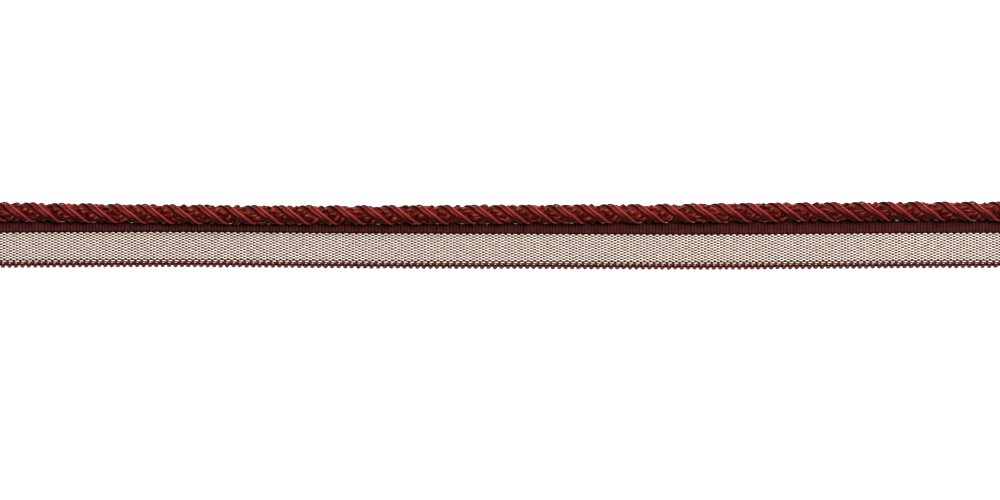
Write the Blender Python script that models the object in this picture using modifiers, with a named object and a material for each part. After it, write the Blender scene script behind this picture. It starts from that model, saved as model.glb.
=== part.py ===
import math

import bpy
import bmesh
from mathutils import Matrix

for old in list(bpy.data.objects):
    bpy.data.objects.remove(old, do_unlink=True)

# All sizes below are in millimetres and degrees
MM = 0.001

# Cut length, lying along X
LENGTH = 305.0

# Cord: two thick plies, with a pair of smooth yarns laid in each groove between them
CORD_WIDTH = 5.86
CORD_HEIGHT = 5.00
CORD_LAY = 15.99
CORD_MIDDLE_Y = 10.60
PAIR_AT_X = 3.58
PAIR_HALF_ANGLE = 18.6
PAIR_CREST = 2.93
PAIR_GROOVE = 2.60
PLY_VALLEY = 2.32
PLY_CREST = 2.66
PRESSED = 0.10
RINGS_A_LAY = 10
SECTION_SIDES = 26

# Lip: one tape, its lower edge a row of weft loops. The warps make its woven band thicker than
# the loops, and than the bare weft that goes on to the upper edge, tucked under the cord's side
TAPE_THICK = 1.00
LOOP_THICK = 0.70
BARE_THICK = 0.60
WOVEN_LOW_Y = -3.45
WOVEN_TOP_Y = 4.80
BARE_FROM_Y = 5.00
TUCK = 0.33
LOOP_PITCH = 1.871
LOOP_END_Y = -5.25
LOOP_SIDE_Y = -5.12
LOOP_NOTCH_Y = -4.72

# The cord's own weight presses its lowest yarns this far flat on the surface it lies on
FLAT = 0.10
CORD_MIDDLE_Z = CORD_HEIGHT / 2.0 - FLAT

# The cross position is measured from the photo's middle row; this brings it to the part's middle
MIDDLE_Y = 4.249

collection = bpy.data.collections.new("lip_cord")
bpy.context.scene.collection.children.link(collection)


def wave(x, length, height, phase):
    return height * math.sin(2.0 * math.pi * x / length + math.radians(phase))


def cord_sway(x):
    """How far the hand-laid cord wanders across."""
    return wave(x, 300.0, 0.51, -52.0) + wave(x, 150.0, 0.10, 121.0)


def cord_drift(x):
    """How far the cord's twist runs ahead of or behind its mean lay."""
    return wave(x, 200.0, 0.233, -116.0) + wave(x, 110.0, 0.193, 109.0)


def tape_sway(x):
    """How far the tape wanders across."""
    return wave(x, 310.0, 0.33, -142.0) + wave(x, 103.0, 0.06, 47.0)


def cloth_material(name, colour, roughness):
    made = bpy.data.materials.new(name)
    made.use_nodes = True
    shader = made.node_tree.nodes["Principled BSDF"]
    shader.inputs["Base Color"].default_value = (*colour, 1.0)
    shader.inputs["Roughness"].default_value = roughness
    return made


def place(name, data, material):
    data.materials.append(material)
    made = bpy.data.objects.new(name, data)
    made.location = (0.0, -MIDDLE_Y * MM, 0.0)
    collection.objects.link(made)
    return made


# Cord
def rounded(angle, middle, half, edge, crest):
    """Radius at an angle over one round yarn or ply, from its edge to its crest."""
    across = min(1.0, abs(angle - middle) / half)
    return edge + (crest - edge) * math.sqrt(1.0 - across * across)


def half_section():
    """Angle and radius of the points over one pair of yarns and one ply."""
    half = PAIR_HALF_ANGLE
    points = []
    for step in range(-4, 5):
        angle = step * half / 2.0
        middle = math.copysign(half, step)
        edge = PLY_VALLEY if abs(step) > 2 else PAIR_GROOVE
        points.append((angle, rounded(angle, middle, half, edge, PAIR_CREST)))
    ply_half = 90.0 - 2.0 * half
    for share in (-0.62, -0.24, 0.24, 0.62):
        angle = 90.0 + share * ply_half
        points.append((angle, rounded(angle, 90.0, ply_half, PLY_VALLEY, PLY_CREST)))
    return points


def twisted(x, angle, radius):
    """Where a point of the section lies at x: turned by the lay, then pressed oval."""
    turn = math.radians(360.0 * (x - PAIR_AT_X - cord_drift(x)) / CORD_LAY + 90.0 + angle)
    turn += PRESSED * math.sin(2.0 * turn)
    across = CORD_MIDDLE_Y + cord_sway(x) + radius * math.cos(turn)
    up = CORD_MIDDLE_Z + radius * math.sin(turn) * CORD_HEIGHT / CORD_WIDTH
    return x * MM, across * MM, max(0.0, up) * MM


def make_cord(material):
    """A cylinder cut into rings, whose points are moved onto the turning section."""
    mesh = bmesh.new()
    lengthwise = Matrix.Rotation(math.radians(90.0), 4, "Y")
    bmesh.ops.create_cone(
        mesh, cap_ends=True, segments=SECTION_SIDES, radius1=1.0, radius2=1.0, depth=LENGTH, matrix=lengthwise
    )
    long_edges = [e for e in mesh.edges if e.calc_length() > LENGTH / 2.0]
    rings = round(LENGTH / CORD_LAY * RINGS_A_LAY)
    bmesh.ops.subdivide_edges(mesh, edges=long_edges, cuts=rings - 1, use_grid_fill=False)
    half = half_section()
    section = half + [(angle + 180.0, radius) for angle, radius in half]
    for vertex in mesh.verts:
        side = math.atan2(vertex.co.z, vertex.co.y) / (2.0 * math.pi) * SECTION_SIDES
        angle, radius = section[round(side) % SECTION_SIDES]
        vertex.co = twisted(vertex.co.x, angle, radius)
    bmesh.ops.recalc_face_normals(mesh, faces=mesh.faces)
    data = bpy.data.meshes.new("cord")
    mesh.to_mesh(data)
    mesh.free()
    data.shade_smooth()
    data.set_sharp_from_angle(angle=math.radians(60.0))
    return place("cord", data, material)


# Lip tape
def edge_point(mesh, x, y):
    return mesh.verts.new((x * MM, (y + tape_sway(x)) * MM, TAPE_THICK / 2.0 * MM))


def tucked_point(mesh, x):
    """A point of the upper edge, which is sewn to the cord's side and follows it."""
    y = CORD_MIDDLE_Y + cord_sway(x) - CORD_WIDTH / 2.0 + TUCK
    return mesh.verts.new((x * MM, y * MM, TAPE_THICK / 2.0 * MM))


def make_tape(material):
    """A flat strip with four faces to each loop, thickened both ways, most in the woven band."""
    mesh = bmesh.new()
    loops = round(LENGTH / LOOP_PITCH)
    pitch = LENGTH / loops
    left = -LENGTH / 2.0
    loop_rows = (LOOP_NOTCH_Y, LOOP_SIDE_Y, LOOP_END_Y, LOOP_SIDE_Y)
    low = [edge_point(mesh, left + i * pitch / 4.0, loop_rows[i % 4]) for i in range(4 * loops + 1)]
    rows = []
    for y in (WOVEN_LOW_Y, WOVEN_TOP_Y, BARE_FROM_Y):
        rows.append([edge_point(mesh, left + i * pitch, y) for i in range(loops + 1)])
    rows.append([tucked_point(mesh, left + i * pitch) for i in range(loops + 1)])
    for i in range(loops):
        mesh.faces.new([*low[4 * i:4 * i + 5], rows[0][i + 1], rows[0][i]])
        for near, far in zip(rows, rows[1:]):
            mesh.faces.new([near[i], near[i + 1], far[i + 1], far[i]])
    data = bpy.data.meshes.new("lip_tape")
    mesh.to_mesh(data)
    mesh.free()
    tape = place("lip_tape", data, material)
    share = tape.vertex_groups.new(name="share_of_thickness")
    share.add(list(range(len(low))), LOOP_THICK / TAPE_THICK, "REPLACE")
    woven_end = len(low) + 2 * len(rows[0])
    share.add(list(range(len(low), woven_end)), 1.0, "REPLACE")
    share.add(list(range(woven_end, len(data.vertices))), BARE_THICK / TAPE_THICK, "REPLACE")
    thick = tape.modifiers.new("thickness", "SOLIDIFY")
    thick.thickness = TAPE_THICK * MM
    thick.offset = 0.0
    thick.vertex_group = share.name
    return tape


make_cord(cloth_material("cord_yarn", (0.26, 0.02, 0.015), 0.6))
make_tape(cloth_material("tape_weave", (0.80, 0.72, 0.62), 0.85))
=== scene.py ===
import math

import bpy
import numpy as np
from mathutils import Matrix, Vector


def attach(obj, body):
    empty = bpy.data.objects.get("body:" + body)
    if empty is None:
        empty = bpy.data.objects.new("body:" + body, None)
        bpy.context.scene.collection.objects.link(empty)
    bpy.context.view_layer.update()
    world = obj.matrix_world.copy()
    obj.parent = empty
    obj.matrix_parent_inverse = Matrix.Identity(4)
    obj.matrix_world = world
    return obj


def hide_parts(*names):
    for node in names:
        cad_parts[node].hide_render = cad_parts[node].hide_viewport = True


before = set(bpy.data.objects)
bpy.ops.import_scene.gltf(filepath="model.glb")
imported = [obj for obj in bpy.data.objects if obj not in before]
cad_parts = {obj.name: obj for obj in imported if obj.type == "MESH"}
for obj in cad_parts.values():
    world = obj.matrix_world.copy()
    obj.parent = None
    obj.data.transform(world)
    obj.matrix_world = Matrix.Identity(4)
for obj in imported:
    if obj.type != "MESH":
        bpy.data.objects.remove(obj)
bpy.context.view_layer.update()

# Sizes are in millimetres unless a line says otherwise, angles in degrees, shades from 0, dark, to 1
MM = 0.001
LENGTH = 305.0
HALF = LENGTH / 2.0
# Places across are measured from the photo's middle row, which lies this far from the part's middle
MIDDLE_Y = 4.249
# What would sink into the surface is pressed flat at this height
LOWEST_Z = 0.01
SEED = 42

# Camera: straight down, with the photo's scale
PHOTO_PIXEL = 0.29
PHOTO_WIDE = 1000
CAMERA_HIGH = 1200.0
SENSOR = 36.0

# Studio: the lamps' places and sizes and the floor's reach are in metres
TENT_DARK = 0.75
TENT_BRIGHT = 1.50
KEY_PLACE = (0.35, 1.1, 0.85)
KEY_SIZE = (0.9, 0.35)
KEY_WATTS = 26.0
TOP_PLACE = (0.3, 0.55, 1.35)
TOP_SIZE = (1.2, 0.7)
TOP_WATTS = 42.0
FLOOR_REACH = 12.0
FLOOR_WHITE = 0.93

# Slow waves along the part, each by its length, height and phase
CORD_SWAY = ((300.0, 0.51, -52.0), (150.0, 0.10, 121.0))
CORD_DRIFT = ((200.0, 0.233, -116.0), (110.0, 0.193, 109.0), (300.0, 0.35, -168.0))
TAPE_SWAY = ((310.0, 0.33, -142.0), (103.0, 0.06, 47.0))
WEAVE_DRIFT = ((220.0, 0.46, 67.0), (100.0, 0.149, -172.0))

# Weft: a pick is one crossing of the tape, and every second one turns in a loop at the lower edge
PICK = 0.93544
PICK_AT_X = 0.327
PICK_UNEVEN = 0.022
PICK_LEAN = 0.03
LEAN_OVER = 10.0
END_ROOM = 0.4
WEFT_Z = 0.50
WEFT_SUNK = 0.09
WEFT_WIDE = 0.84
WEFT_BARE_WIDE = 1.06
WEFT_LOOP_WIDE = 0.60
WEFT_END_WIDE = 0.80
WEFT_THICK = 0.54
LOOP_THICKER = 0.08
BAND_THINNER = 0.18
WEFT_UNEVEN_Z = 0.012

# Loops of the weft, and its upper end, which is sewn to the cord's side and lies a little lower
LOOP_END_Y = -5.25
LOOP_SHIFT = 0.25
LOOP_PINCH = 0.09
LOOP_REACH = 0.24
LOOP_UNEVEN = 0.03
LOOP_SINK = 0.04
TURN_FROM = 20.0
TURN_TO = 161.0
TURN_STEP = 23.33
SEWN_LOWER = 0.12

# Where the weft changes across the tape: each change starts at one place and takes some distance
SHIFT_FROM_Y = -3.0
SHIFT_OVER = 1.0
EYE_FROM_Y = -4.0
EYE_OVER = 0.5
SEWN_FROM_Y = 6.0
SEWN_OVER = 2.0
THIN_FROM_Y = -3.2
THIN_OVER = 0.6
BAND_LOW_Y = -3.4
BAND_TOP_Y = 4.9
BAND_OVER = 0.4
BARE_FROM_Y = 4.6
END_FROM_Y = 7.8
BARE_OVER = 0.4

# Places across the tape at which a pick has a point, from the cord down to where it turns
PICK_ROWS = (
    8.2, 7.6, 7.0, 5.6, 5.3, 5.05, 4.8, 3.5, 2.0, 0.5, -1.0, -2.2, -2.95, -3.3, -3.6, -3.95, -4.3
)

# The weft's shade by its place across: a painted highlight on the loops, painted shade in the weave and
# beside its edges
WEFT_PAINTED_LIGHT_AND_SHADE = (
    (-4.90, 0.62), (-4.65, 0.60), (-4.45, 0.42), (-4.20, 0.38), (-3.95, 0.42), (-3.60, 0.46),
    (-3.25, 0.28), (-2.95, 0.12), (4.85, 0.12), (5.05, 0.20), (5.35, 0.43)
)

# Two yarns caught in the loops: one goes over between them and under in them, one lies flat below
EDGE_YARN_Y = -4.10
EDGE_YARN_SWING = 0.26
EDGE_YARN_Z = 0.38
EDGE_YARN_RISE = 0.24
EDGE_YARN = 0.56
# The over yarn has painted shade where it dives into the loops and painted light where it comes over; the
# flat one below has painted shade
EDGE_YARN_SHADE = 0.46
EDGE_YARN_PAINTED_LIGHT_AND_SHADE = 0.10
BACK_YARN_Y = -4.12
BACK_YARN_Z = 0.16
BACK_YARN_WIDE = 1.16
BACK_YARN_THICK = 0.26
BACK_YARN_PAINTED_SHADE = 0.3
EDGE_STEPS = 6
BACK_EVERY = 12

# Warps, counted from the top; the last one is thinner, lower and shorter on the face than the others
WARPS = 21
WARP_TOP_Y = 4.61
WARP_LOW_Y = -3.26
WARP_STEP = (WARP_TOP_Y - WARP_LOW_Y) / (WARPS - 1)
WARP_WIDE = 0.345
WARP_THICK = 0.24
WARP_RISE = 0.37
WARP_DIVE = 0.34
WARP_LONG_FLOAT = -0.08
WARP_FLAT_FLOAT = 0.6
WARP_SWELL = 0.10
WARP_STEPS = 5
LAST_WARP_SHORTER = 0.06
LAST_WARP_LOWER = 0.19
LAST_WARP_THINNER = 0.88
WARP_PIECES = 3

# A thinner yarn comes up in the eye of each loop
CATCH_Y = -3.98
CATCH_Z = 0.35
CATCH_RISE = 0.30
CATCH_WIDE = 0.20

# Cord: two plies of three yarns, and a pair of smooth yarns in each groove between them
CORD_LAY = 15.99
CORD_MIDDLE_Y = 10.70
CORD_MIDDLE_Z = 2.40
PRESSED = 0.17
FLATTENED = 0.836

# Of a pair, the second yarn lies deeper and is painted darker as shade, and the first one is thinner and
# painted lighter as a highlight
PAIR_AT_X = 3.58
PAIR_RING = 2.54
PAIR_DEEPER = 0.09
PAIR_HALF_ANGLE = 20.5
PAIR_YARN = 0.36
PAIR_THINNER = 0.03
PAIR_SHADE = 0.53
PAIR_PAINTED_LIGHT_AND_SHADE = 0.29
PAIR_POINTS = 860

# The yarns of a ply turn back against its own twist
PLY_RING = 1.49
PLY_LEAD = 6.0
PLY_YARNS = 3
PLY_YARN_RING = 0.95
PLY_YARN = 0.45
PLY_BACK_TURN = 2.5
PLY_YARN_UNEVEN = 0.15
PLY_SHADE = 0.50
PLY_POINTS = 1250

# Dark yarns inside the cord: one under each pair, one in each ply, and a core, with painted shade in the
# plies and painted light under the pairs
FILLER = 1.50
FILLER_PAIR_RING = 1.74
FILLER_PAIR_PAINTED_LIGHT = 0.64
FILLER_PLY_PAINTED_SHADE = 0.30
CORE_WIDE = 4.50
CORE_SHADE = 0.45
FILLER_POINTS = 500

# Sewing thread, in short stitches along the cord's side
THREAD = 0.16
STITCH_MARGIN = 5.0
STITCH_SHORT = 0.5
STITCH_LONG = 0.85
STITCH_NEAR = 6.5
STITCH_FAR = 11.5
STITCH_IN = 2.45
STITCH_OUT = 0.30
STITCH_Z = 2.20
STITCH_RISE = 0.80
STITCH_POINTS = 9

# How many sides the yarns of each piece have
WEFT_SIDES = 8
WARP_SIDES = 6
PAIR_SIDES = 14
PLY_SIDES = 12
FILLER_SIDES = 12
THREAD_SIDES = 8

# Yarn materials: how fast the filaments change along a yarn, and what gives them their shades
FIBRE_ALONG = 0.35
YARNS_APART = 37.0
FINE_SHARE = 0.55
COARSE_SHARE = 0.45
RAMP_DARK = 0.30
RAMP_LIGHT = 0.70
GLOSS_TINT = 0.8
TINT_STEP = 0.618034


def waves(x, table):
    """The sum of a table's slow waves."""
    total = 0.0
    for length, height, phase in table:
        total = total + height * np.sin(2.0 * np.pi * x / length + math.radians(phase))
    return total


def cord_sway(x):
    """How far the hand-laid cord wanders across."""
    return waves(x, CORD_SWAY)


def cord_drift(x):
    """How far the cord's twist runs ahead of or behind its mean lay."""
    return waves(x, CORD_DRIFT)


def tape_sway(x):
    """How far the tape wanders across."""
    return waves(x, TAPE_SWAY)


def weave_drift(x):
    """How far the picks run ahead of or behind their mean pitch."""
    return waves(x, WEAVE_DRIFT)


def wander(x, random, length, size, terms=5):
    """A smooth random line: its waves are about that long and its mean height is size."""
    total = np.zeros_like(x)
    for _ in range(terms):
        own = length * random.uniform(0.6, 1.7)
        total += np.sin(2.0 * np.pi * x / own + random.uniform(0.0, 2.0 * np.pi))
    return total * size * math.sqrt(2.0 / terms)


def share(distance, over):
    """How much of a change is done that takes some distance, from 0 to 1."""
    return np.clip(distance / over, 0.0, 1.0)


# Meshes
def tube_arrays(path, wide, thick, sides):
    """Points, ring faces and their place along and around one yarn of oval section."""
    count = len(path)
    along = np.gradient(path, axis=0)
    along /= np.linalg.norm(along, axis=1)[:, None]
    across = np.cross(along, (0.0, 0.0, 1.0))
    across /= np.linalg.norm(across, axis=1)[:, None]
    up = np.cross(across, along)
    # The seam of the around coordinate runs along the yarn's underside
    angle = -0.5 * np.pi + np.arange(sides) * 2.0 * np.pi / sides
    half_wide = np.broadcast_to(np.asarray(wide, float) / 2.0, (count,))[:, None, None]
    half_thick = np.broadcast_to(np.asarray(thick, float) / 2.0, (count,))[:, None, None]
    ring = path[:, None, :] + half_wide * np.cos(angle)[None, :, None] * across[:, None, :]
    ring = ring + half_thick * np.sin(angle)[None, :, None] * up[:, None, :]
    i = np.arange(count - 1)[:, None] * sides
    j = np.arange(sides)[None, :]
    k = (j + 1) % sides
    faces = np.stack([i + j, i + sides + j, i + sides + k, i + k], axis=-1).reshape(-1, 4)
    steps = np.linalg.norm(np.diff(path, axis=0), axis=1)
    length = np.concatenate([[0.0], np.cumsum(steps)])
    near = np.broadcast_to(length[:-1, None], (count - 1, sides))
    far = np.broadcast_to(length[1:, None], (count - 1, sides))
    left = np.broadcast_to(j / sides, (count - 1, sides))
    right = left + 1.0 / sides
    uv = np.stack([near, left, far, left, far, right, near, right], axis=-1).reshape(-1, 2)
    return ring.reshape(-1, 3), faces, uv


def make_mesh(name, points, quads, caps, places):
    """A mesh of smooth quads and flat end caps, with the place along and around each yarn."""
    sides = caps.shape[1]
    mesh = bpy.data.meshes.new(name)
    mesh.vertices.add(len(points))
    mesh.vertices.foreach_set("co", ((points - (0.0, MIDDLE_Y, 0.0)) * MM).ravel())
    corners = np.concatenate([quads.ravel(), caps.ravel()])
    mesh.loops.add(len(corners))
    mesh.loops.foreach_set("vertex_index", corners.astype(np.int32))
    starts = np.concatenate([np.arange(len(quads)) * 4, quads.size + np.arange(len(caps)) * sides])
    mesh.polygons.add(len(starts))
    mesh.polygons.foreach_set("loop_start", starts.astype(np.int32))
    mesh.update(calc_edges=True)
    mesh.polygons.foreach_set("use_smooth", np.arange(len(starts)) < len(quads))
    layer = mesh.uv_layers.new(name="yarn")
    cap_places = np.zeros((caps.size, 2))
    layer.data.foreach_set("uv", np.concatenate([*places, cap_places]).ravel())
    return mesh


def yarns(name, paths, wides, thicks, sides, material, slot, shades=None):
    """One mesh of closed yarns, riding on the part, with a shade for each yarn or each of its points,
    which on some pieces is painted light and shade.
    """
    points, quads, places, caps, tints, tones = [], [], [], [], [], []
    base = 0
    for index, path in enumerate(paths):
        ring, faces, uv = tube_arrays(path, wides[index], thicks[index], sides)
        points.append(ring)
        quads.append(faces + base)
        places.append(uv)
        last = base + len(ring) - sides
        caps.append(base + np.arange(sides))
        caps.append(last + np.arange(sides)[::-1])
        tints.append(np.full(len(ring), (index * TINT_STEP) % 1.0))
        shade = 0.5 if shades is None else shades[index]
        tones.append(np.repeat(np.broadcast_to(shade, (len(path),)), sides))
        base += len(ring)
    points = np.concatenate(points)
    points[:, 2] = np.maximum(points[:, 2], LOWEST_Z)
    mesh = make_mesh(name, points, np.concatenate(quads), np.array(caps), places)
    tint = mesh.attributes.new("tint", "FLOAT", "POINT")
    tint.data.foreach_set("value", np.concatenate(tints))
    tone = mesh.attributes.new("shade", "FLOAT", "POINT")
    tone.data.foreach_set("value", np.concatenate(tones))
    mesh.materials.append(material)
    piece = bpy.data.objects.new(name, mesh)
    bpy.context.scene.collection.objects.link(piece)
    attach(piece, "root")
    return piece


# Materials
def add(tree, kind, inputs=(), **settings):
    """A node with its settings; an input is a number, a colour or another node's socket."""
    made = tree.nodes.new(kind)
    for key, value in settings.items():
        setattr(made, key, value)
    for key, value in dict(inputs).items():
        if isinstance(value, bpy.types.NodeSocket):
            tree.links.new(value, made.inputs[key])
        else:
            made.inputs[key].default_value = value
    return made


def maths(tree, operation, first, second):
    return add(tree, "ShaderNodeMath", {0: first, 1: second}, operation=operation).outputs[0]


def yarn_material(
    name, dark, light, fibres, twist, roughness, gloss, sheen, depth, patches, contrast=1.0
):
    """Filaments that run along a yarn and turn round it, in shades from dark to light.

    Fibres is how many show round a yarn, twist its turns in a millimetre, depth the filaments'
    depth, patches how many uneven spots a metre has, and contrast how strong both are."""
    material = bpy.data.materials.new(name)
    material.use_nodes = True
    tree = material.node_tree
    shader = tree.nodes["Principled BSDF"]
    place = add(tree, "ShaderNodeUVMap", uv_map="yarn")
    split = add(tree, "ShaderNodeSeparateXYZ", {0: place.outputs[0]})
    tint = add(tree, "ShaderNodeAttribute", attribute_name="tint")
    along, around = split.outputs[0], split.outputs[1]
    turned = maths(tree, "ADD", around, maths(tree, "MULTIPLY", along, twist))
    across = maths(tree, "MULTIPLY", turned, fibres)
    slow = maths(tree, "MULTIPLY", along, FIBRE_ALONG)
    own = maths(tree, "MULTIPLY", tint.outputs["Fac"], YARNS_APART)
    where = add(tree, "ShaderNodeCombineXYZ", {0: slow, 1: across, 2: own}).outputs[0]
    filaments = {"Vector": where, "Scale": 1.0, "Detail": 2.0, "Roughness": 0.6}
    fibre = add(tree, "ShaderNodeTexNoise", filaments)
    spread = add(tree, "ShaderNodeTexCoord").outputs["Object"]
    patch = add(tree, "ShaderNodeTexNoise", {"Vector": spread, "Scale": patches, "Detail": 2.0})
    fine = maths(tree, "MULTIPLY", fibre.outputs[0], FINE_SHARE * contrast)
    coarse = maths(tree, "MULTIPLY", patch.outputs[0], COARSE_SHARE * contrast)
    # The shade attribute holds painted light and shade on some yarns and a random tone on others
    shade = add(tree, "ShaderNodeAttribute", attribute_name="shade").outputs["Fac"]
    # The noise is 0.5 on average, which is taken off, so that it leaves the mean shade as it is
    level = maths(tree, "SUBTRACT", shade, 0.5 * contrast)
    mixed = maths(tree, "ADD", maths(tree, "ADD", fine, coarse), level)
    ramp = add(tree, "ShaderNodeValToRGB", {0: mixed})
    ramp.color_ramp.elements[0].position = RAMP_DARK
    ramp.color_ramp.elements[0].color = (*dark, 1.0)
    ramp.color_ramp.elements[1].position = RAMP_LIGHT
    ramp.color_ramp.elements[1].color = (*light, 1.0)
    relief = {"Height": fibre.outputs[0], "Strength": 0.8, "Distance": depth * MM}
    bump = add(tree, "ShaderNodeBump", relief)
    tree.links.new(ramp.outputs[0], shader.inputs["Base Color"])
    tree.links.new(bump.outputs[0], shader.inputs["Normal"])
    shader.inputs["Roughness"].default_value = roughness
    shader.inputs["Specular IOR Level"].default_value = gloss
    gloss_colour = [(channel / max(light)) ** GLOSS_TINT for channel in light]
    shader.inputs["Specular Tint"].default_value = (*gloss_colour, 1.0)
    shader.inputs["Sheen Weight"].default_value = sheen
    shader.inputs["Sheen Roughness"].default_value = 0.4
    shader.inputs["Sheen Tint"].default_value = (*light, 1.0)
    return material


def thread_material():
    """Clear nylon thread."""
    material = bpy.data.materials.new("clear_thread")
    material.use_nodes = True
    shader = material.node_tree.nodes["Principled BSDF"]
    shader.inputs["Base Color"].default_value = (0.42, 0.33, 0.29, 1.0)
    shader.inputs["Roughness"].default_value = 0.12
    shader.inputs["Transmission Weight"].default_value = 0.55
    shader.inputs["IOR"].default_value = 1.53
    return material


# Camera and light
def make_camera():
    data = bpy.data.cameras.new("camera")
    data.sensor_width = SENSOR
    data.lens = SENSOR * CAMERA_HIGH / (PHOTO_PIXEL * PHOTO_WIDE)
    data.clip_end = 100.0
    camera = bpy.data.objects.new("camera", data)
    camera.location = (0.0, -MIDDLE_Y * MM, CAMERA_HIGH * MM)
    bpy.context.scene.collection.objects.link(camera)
    bpy.context.scene.camera = camera


def area_light(name, place, size, watts):
    """A soft lamp that looks at the part's middle."""
    data = bpy.data.lights.new(name, "AREA")
    data.shape = "RECTANGLE"
    data.size, data.size_y = size
    data.energy = watts
    light = bpy.data.objects.new(name, data)
    light.location = place
    light.rotation_euler = (-Vector(place)).to_track_quat("-Z", "Y").to_euler()
    bpy.context.scene.collection.objects.link(light)


def make_tent():
    """A tent all round that is brighter on the cord's side, so that every shadow stays soft."""
    world = bpy.data.worlds.new("studio")
    bpy.context.scene.world = world
    world.use_nodes = True
    tree = world.node_tree
    around = add(tree, "ShaderNodeTexCoord").outputs["Generated"]
    direction = add(tree, "ShaderNodeSeparateXYZ", {0: around})
    spread = {"Value": direction.outputs[1], "From Min": -1.0, "To Min": TENT_DARK, "To Max": TENT_BRIGHT}
    tent = add(tree, "ShaderNodeMapRange", spread)
    tree.links.new(tent.outputs[0], tree.nodes["Background"].inputs["Strength"])


def make_floor():
    mesh = bpy.data.meshes.new("floor")
    far = FLOOR_REACH
    corners = [(-far, -far, 0.0), (far, -far, 0.0), (far, far, 0.0), (-far, far, 0.0)]
    mesh.from_pydata(corners, [], [(0, 1, 2, 3)])
    white = bpy.data.materials.new("floor_white")
    white.use_nodes = True
    shader = white.node_tree.nodes["Principled BSDF"]
    shader.inputs["Base Color"].default_value = (FLOOR_WHITE, FLOOR_WHITE, FLOOR_WHITE, 1.0)
    shader.inputs["Roughness"].default_value = 0.9
    mesh.materials.append(white)
    floor = bpy.data.objects.new("floor", mesh)
    bpy.context.scene.collection.objects.link(floor)


def make_studio():
    bpy.context.scene.view_settings.view_transform = "Standard"
    make_tent()
    area_light("key", KEY_PLACE, KEY_SIZE, KEY_WATTS)
    area_light("top", TOP_PLACE, TOP_SIZE, TOP_WATTS)
    make_floor()


# Tape
def pick_leg(x, lean, down, rows):
    """One pick from the cord down to its turn, or back up."""
    low = share(SHIFT_FROM_Y - rows, SHIFT_OVER)
    shift = LOOP_SHIFT * low * low * (3.0 - 2.0 * low)
    side = 1.0 if down else -1.0
    eye = LOOP_PINCH * side * share(EYE_FROM_Y - rows, EYE_OVER)
    # The upper end is sewn to the cord's side, low down, and follows the cord
    sewn = share(rows - SEWN_FROM_Y, SEWN_OVER)
    across = rows + sewn * (cord_sway(x) - tape_sway(x))
    height = WEFT_Z - SEWN_LOWER * sewn
    leg = np.stack([x + shift + eye + lean * rows / LEAN_OVER, across, height], axis=1)
    return leg if down else leg[::-1]


def pick_turn(x, down, reach, rows):
    """The turn to the next pick: a loop at the lower edge, a plain bend at the upper one."""
    middle = x + PICK / 2.0 + (LOOP_SHIFT if down else 0.0)
    angles = np.radians(np.arange(TURN_FROM, TURN_TO, TURN_STEP))
    across = middle - (PICK / 2.0 - (LOOP_PINCH if down else 0.0)) * np.cos(angles)
    if down:
        along = rows[-1] - reach * np.sin(angles)
        height = WEFT_Z - LOOP_SINK * np.sin(angles)
    else:
        edge = rows[0] + cord_sway(middle) - tape_sway(middle)
        along = edge + 0.5 * reach * np.sin(angles)
        height = np.full(len(angles), WEFT_Z - SEWN_LOWER)
    return np.stack([across, along, height], axis=1)


def weft_path(random):
    """One weft yarn, up and down across the tape all along it."""
    first = math.ceil((-HALF - PICK_AT_X + END_ROOM) / PICK)
    first += first % 2
    last = math.floor((HALF - PICK_AT_X - END_ROOM) / PICK)
    turn_y = LOOP_END_Y + WEFT_LOOP_WIDE / 2.0 + LOOP_REACH
    rows = np.array([*PICK_ROWS, turn_y])
    points = []
    for pick in range(first, last + 1):
        x = PICK_AT_X + pick * PICK + random.normal(0.0, PICK_UNEVEN)
        lean = random.normal(0.0, PICK_LEAN)
        down = pick % 2 == 1
        points.append(pick_leg(x, lean, down, rows))
        if pick < last:
            reach = LOOP_REACH + random.normal(0.0, LOOP_UNEVEN)
            points.append(pick_turn(x, down, reach, rows))
    path = np.concatenate(points)
    path[:, 2] += wander(path[:, 0], random, length=3.0, size=WEFT_UNEVEN_Z)
    return path


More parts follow.
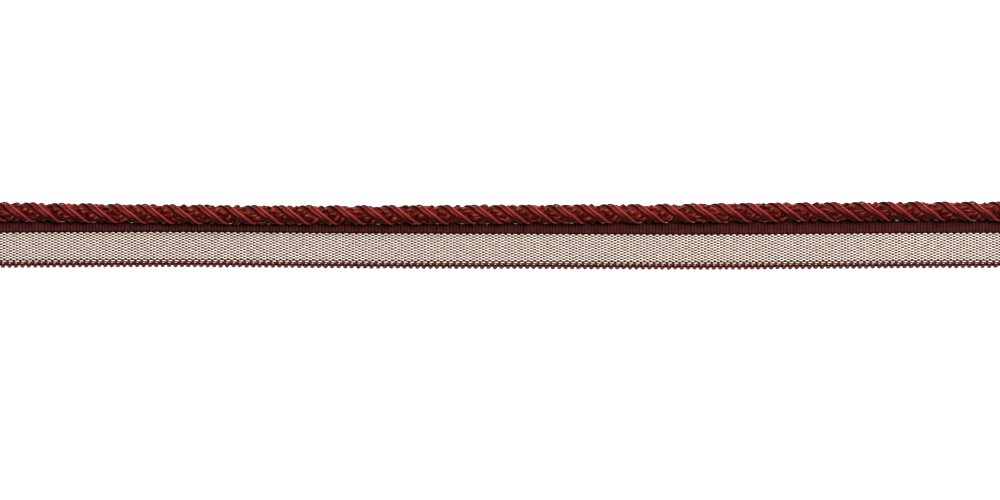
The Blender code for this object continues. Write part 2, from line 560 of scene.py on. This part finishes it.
def make_weft(random):
    path = weft_path(random)
    y = path[:, 1]
    # Thinner and rounder in the loops, spread flat where it lies bare beside the cord
    loop = share(THIN_FROM_Y - y, THIN_OVER)
    band = share(y - BAND_LOW_Y, BAND_OVER) * share(BAND_TOP_Y - y, BAND_OVER)
    bare = share(y - BARE_FROM_Y, BARE_OVER)
    end = share(y - END_FROM_Y, BARE_OVER)
    wide = WEFT_WIDE + (WEFT_LOOP_WIDE - WEFT_WIDE) * loop + (WEFT_BARE_WIDE - WEFT_WIDE) * bare
    wide += (WEFT_END_WIDE - WEFT_BARE_WIDE) * end
    thick = WEFT_THICK + LOOP_THICKER * loop - BAND_THINNER * band
    # The weft is painted lighter on the loops and darker in the weave and beside its edges, as light and
    # shade
    at, shades = zip(*WEFT_PAINTED_LIGHT_AND_SHADE)
    shade = np.interp(y, at, shades)
    path[:, 2] -= WEFT_SUNK * band
    path[:, 0] += weave_drift(path[:, 0])
    path[:, 1] += tape_sway(path[:, 0])
    # The two yarns that are caught in the loops
    x = np.arange(-HALF, HALF + 1e-6, PICK / EDGE_STEPS)
    swing = np.sin(np.pi * (x - PICK_AT_X - LOOP_SHIFT) / PICK)
    over_y = EDGE_YARN_Y + EDGE_YARN_SWING * swing + tape_sway(x)
    over = np.stack([x + weave_drift(x), over_y, EDGE_YARN_Z + EDGE_YARN_RISE * swing], axis=1)
    x = x[::BACK_EVERY]
    below = np.stack([x, BACK_YARN_Y + tape_sway(x), np.full(len(x), BACK_YARN_Z)], axis=1)
    burgundy = yarn_material(
        "weft_burgundy", dark=(0.006, 0.0014, 0.0012), light=(0.104, 0.0185, 0.0192),
        fibres=14.0, twist=0.12, roughness=0.6, gloss=0.15, sheen=0.03, depth=0.04,
        patches=700.0, contrast=0.5
    )
    paths = [path, over, below]
    wides = [wide, EDGE_YARN, BACK_YARN_WIDE]
    thicks = [thick, EDGE_YARN, BACK_YARN_THICK]
    # Painted light and shade: the over yarn darker in the loops and lighter between them, the flat one
    # dark
    tones = [shade, EDGE_YARN_SHADE + EDGE_YARN_PAINTED_LIGHT_AND_SHADE * swing, BACK_YARN_PAINTED_SHADE]
    return yarns("tape_weft", paths, wides, thicks, WEFT_SIDES, burgundy, "lip_tape", tones)


def make_warps(random):
    cream = yarn_material(
        "warp_cream", dark=(0.56, 0.46, 0.39), light=(0.86, 0.74, 0.655),
        fibres=9.0, twist=0.5, roughness=0.7, gloss=0.2, sheen=0.05, depth=0.03, patches=900.0
    )
    spots = np.arange(-HALF, HALF + 1e-6, PICK / WARP_STEPS)
    paths, wides = [], []
    for warp in range(WARPS):
        is_last = warp == WARPS - 1
        over = np.cos(np.pi * (spots - PICK_AT_X) / PICK) * (1.0 if warp % 2 == 0 else -1.0)
        # How much longer each float is than the dip between two floats, or shorter where below 0
        longer = WARP_LONG_FLOAT - (LAST_WARP_SHORTER if is_last else 0.0)
        high = (np.maximum(over + longer, 0.0) / (1.0 + longer)) ** WARP_FLAT_FLOAT
        deep = (np.maximum(-over - longer, 0.0) / (1.0 - longer)) ** WARP_FLAT_FLOAT
        z = WEFT_Z + WARP_RISE * high - WARP_DIVE * deep
        uneven = wander(spots, random, length=4.0, size=0.016)
        y = WARP_TOP_Y - warp * WARP_STEP + uneven + tape_sway(spots)
        if is_last:
            y -= LAST_WARP_LOWER
        paths.append(np.stack([spots + weave_drift(spots), y, z], axis=1))
        full = WARP_WIDE * (LAST_WARP_THINNER if is_last else 1.0)
        swell = 1.0 - WARP_SWELL + WARP_SWELL * over
        wides.append(full * swell * (1.0 + wander(spots, random, length=3.0, size=0.03)))
    eye = np.cos(np.pi * (spots - PICK_AT_X - LOOP_SHIFT + PICK / 2.0) / PICK)
    y = CATCH_Y + wander(spots, random, length=4.0, size=0.02) + tape_sway(spots)
    paths.append(np.stack([spots + weave_drift(spots), y, CATCH_Z + CATCH_RISE * eye], axis=1))
    wides.append(np.full(len(spots), CATCH_WIDE))
    thicks = [WARP_THICK] * len(paths)
    # Each piece takes a third of the warps, and the last one the thinner yarn too
    pieces = []
    each = WARPS // WARP_PIECES
    for part in range(WARP_PIECES):
        end = len(paths) if part == WARP_PIECES - 1 else (part + 1) * each
        own = slice(part * each, end)
        name = f"tape_warps_{part + 1}"
        sizes = wides[own], thicks[own]
        pieces.append(yarns(name, paths[own], *sizes, WARP_SIDES, cream, "lip_tape"))
    return pieces


# Cord
def pressed(x, ring, turn):
    """A point at that radius and turn of the round cord, pressed to its oval."""
    turn = turn + PRESSED * np.sin(2.0 * turn)
    y = CORD_MIDDLE_Y + cord_sway(x) + ring * np.cos(turn)
    z = CORD_MIDDLE_Z + FLATTENED * ring * np.sin(turn)
    return np.stack([x, y, z], axis=1)


def cord_turn(x):
    """How far the cord's twist has turned at x, in radians."""
    return 2.0 * np.pi * (x - PAIR_AT_X - cord_drift(x)) / CORD_LAY + 0.5 * np.pi


def make_pairs(random):
    x = np.linspace(-HALF, HALF, PAIR_POINTS)
    paths, sizes, shades = [], [], []
    for pair in range(2):
        for side in (-1.0, 1.0):
            turn = cord_turn(x) + pair * np.pi + side * math.radians(PAIR_HALF_ANGLE)
            turn += wander(x, random, length=9.0, size=0.02)
            ring = PAIR_RING - PAIR_DEEPER * side + wander(x, random, length=7.0, size=0.03)
            size = 2.0 * (PAIR_YARN + PAIR_THINNER * side)
            sizes.append(size * (1.0 + wander(x, random, length=5.0, size=0.02)))
            paths.append(pressed(x, ring, turn))
            # A painted highlight on the first yarn of a pair and painted shade on the second
            shades.append(PAIR_SHADE - PAIR_PAINTED_LIGHT_AND_SHADE * side)
    red = yarn_material(
        "pair_red", dark=(0.018, 0.0015, 0.0011), light=(0.130, 0.0124, 0.0122),
        fibres=16.0, twist=0.10, roughness=0.29, gloss=0.45, sheen=0.02, depth=0.03,
        patches=260.0, contrast=0.6
    )
    return yarns("cord_pairs", paths, sizes, sizes, PAIR_SIDES, red, "cord", shades)


def make_plies(random):
    x = np.linspace(-HALF, HALF, PLY_POINTS)
    red = yarn_material(
        "ply_red", dark=(0.0125, 0.0011, 0.0007), light=(0.108, 0.0096, 0.0074),
        fibres=15.0, twist=-0.22, roughness=0.32, gloss=0.38, sheen=0.02, depth=0.04,
        patches=300.0, contrast=0.8
    )
    for ply in range(2):
        paths, sizes, shades = [], [], []
        turn = cord_turn(x) + 0.5 * np.pi + ply * np.pi + math.radians(PLY_LEAD)
        for yarn in range(PLY_YARNS):
            start = 2.0 * np.pi * yarn / PLY_YARNS
            start_off = random.uniform(-PLY_YARN_UNEVEN, PLY_YARN_UNEVEN)
            back = -PLY_BACK_TURN * turn + start + start_off
            back = back + wander(x, random, length=6.0, size=0.45)
            own = PLY_YARN_RING + wander(x, random, length=3.5, size=0.11)
            across = PLY_RING * np.cos(turn) + own * np.cos(back)
            up = PLY_RING * np.sin(turn) + own * np.sin(back)
            paths.append(pressed(x, np.hypot(across, up), np.unwrap(np.arctan2(up, across))))
            sizes.append(2.0 * PLY_YARN * (1.0 + wander(x, random, length=2.6, size=0.09)))
            shades.append(PLY_SHADE + wander(x, random, length=2.5, size=0.17))
        yarns(f"cord_ply_{ply + 1}", paths, sizes, sizes, PLY_SIDES, red, "cord", shades)


def make_filler():
    """The dark yarns inside, seen only in the gaps, with painted shade in the plies and painted light
    under the pairs, and the core that they are laid round.
    """
    x = np.linspace(-HALF, HALF, FILLER_POINTS)
    paths, shades = [], []
    for step in range(4):
        under_pair = step % 2 == 0
        ring = FILLER_PAIR_RING if under_pair else PLY_RING
        turn = cord_turn(x) + step * 0.5 * np.pi
        paths.append(pressed(x, np.full(len(x), ring), turn))
        # Painted shade in the plies' pockets, painted light in the grooves under the pairs
        shades.append(FILLER_PAIR_PAINTED_LIGHT if under_pair else FILLER_PLY_PAINTED_SHADE)
    wides = [FILLER] * len(paths)
    thicks = [FILLER] * len(paths)
    # Nothing is seen through the cord, because the core closes every gap
    paths.append(pressed(x, np.zeros(len(x)), cord_turn(x)))
    wides.append(CORE_WIDE)
    thicks.append(CORE_WIDE * FLATTENED)
    shades.append(CORE_SHADE)
    dark = yarn_material(
        "filler_dark", dark=(0.011, 0.0010, 0.0006), light=(0.100, 0.0084, 0.0054),
        fibres=12.0, twist=0.1, roughness=0.7, gloss=0.2, sheen=0.0, depth=0.05, patches=300.0
    )
    yarns("cord_filler", paths, wides, thicks, FILLER_SIDES, dark, "cord", shades)


def make_stitches(random):
    """Clear sewing thread, in short stitches that hold the tape's edge to the cord's side."""
    paths = []
    x = -HALF + STITCH_MARGIN
    while x < HALF - STITCH_MARGIN:
        half = random.uniform(STITCH_SHORT, STITCH_LONG)
        along = np.linspace(-1.0, 1.0, STITCH_POINTS)
        spot = x + half * along
        out = np.sqrt(1.0 - along * along)
        y = CORD_MIDDLE_Y + cord_sway(spot) - STITCH_IN - STITCH_OUT * out
        z = STITCH_Z + STITCH_RISE * out
        paths.append(np.stack([spot, y, z], axis=1))
        x += random.uniform(STITCH_NEAR, STITCH_FAR)
    sizes = [THREAD] * len(paths)
    yarns("sewing_thread", paths, sizes, sizes, THREAD_SIDES, thread_material(), "cord")


make_camera()
make_studio()
random = np.random.default_rng(SEED)
weft = make_weft(random)
warps = make_warps(random)
pairs = make_pairs(random)
make_plies(random)
make_filler()
make_stitches(random)
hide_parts("lip_tape")
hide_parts("cord")
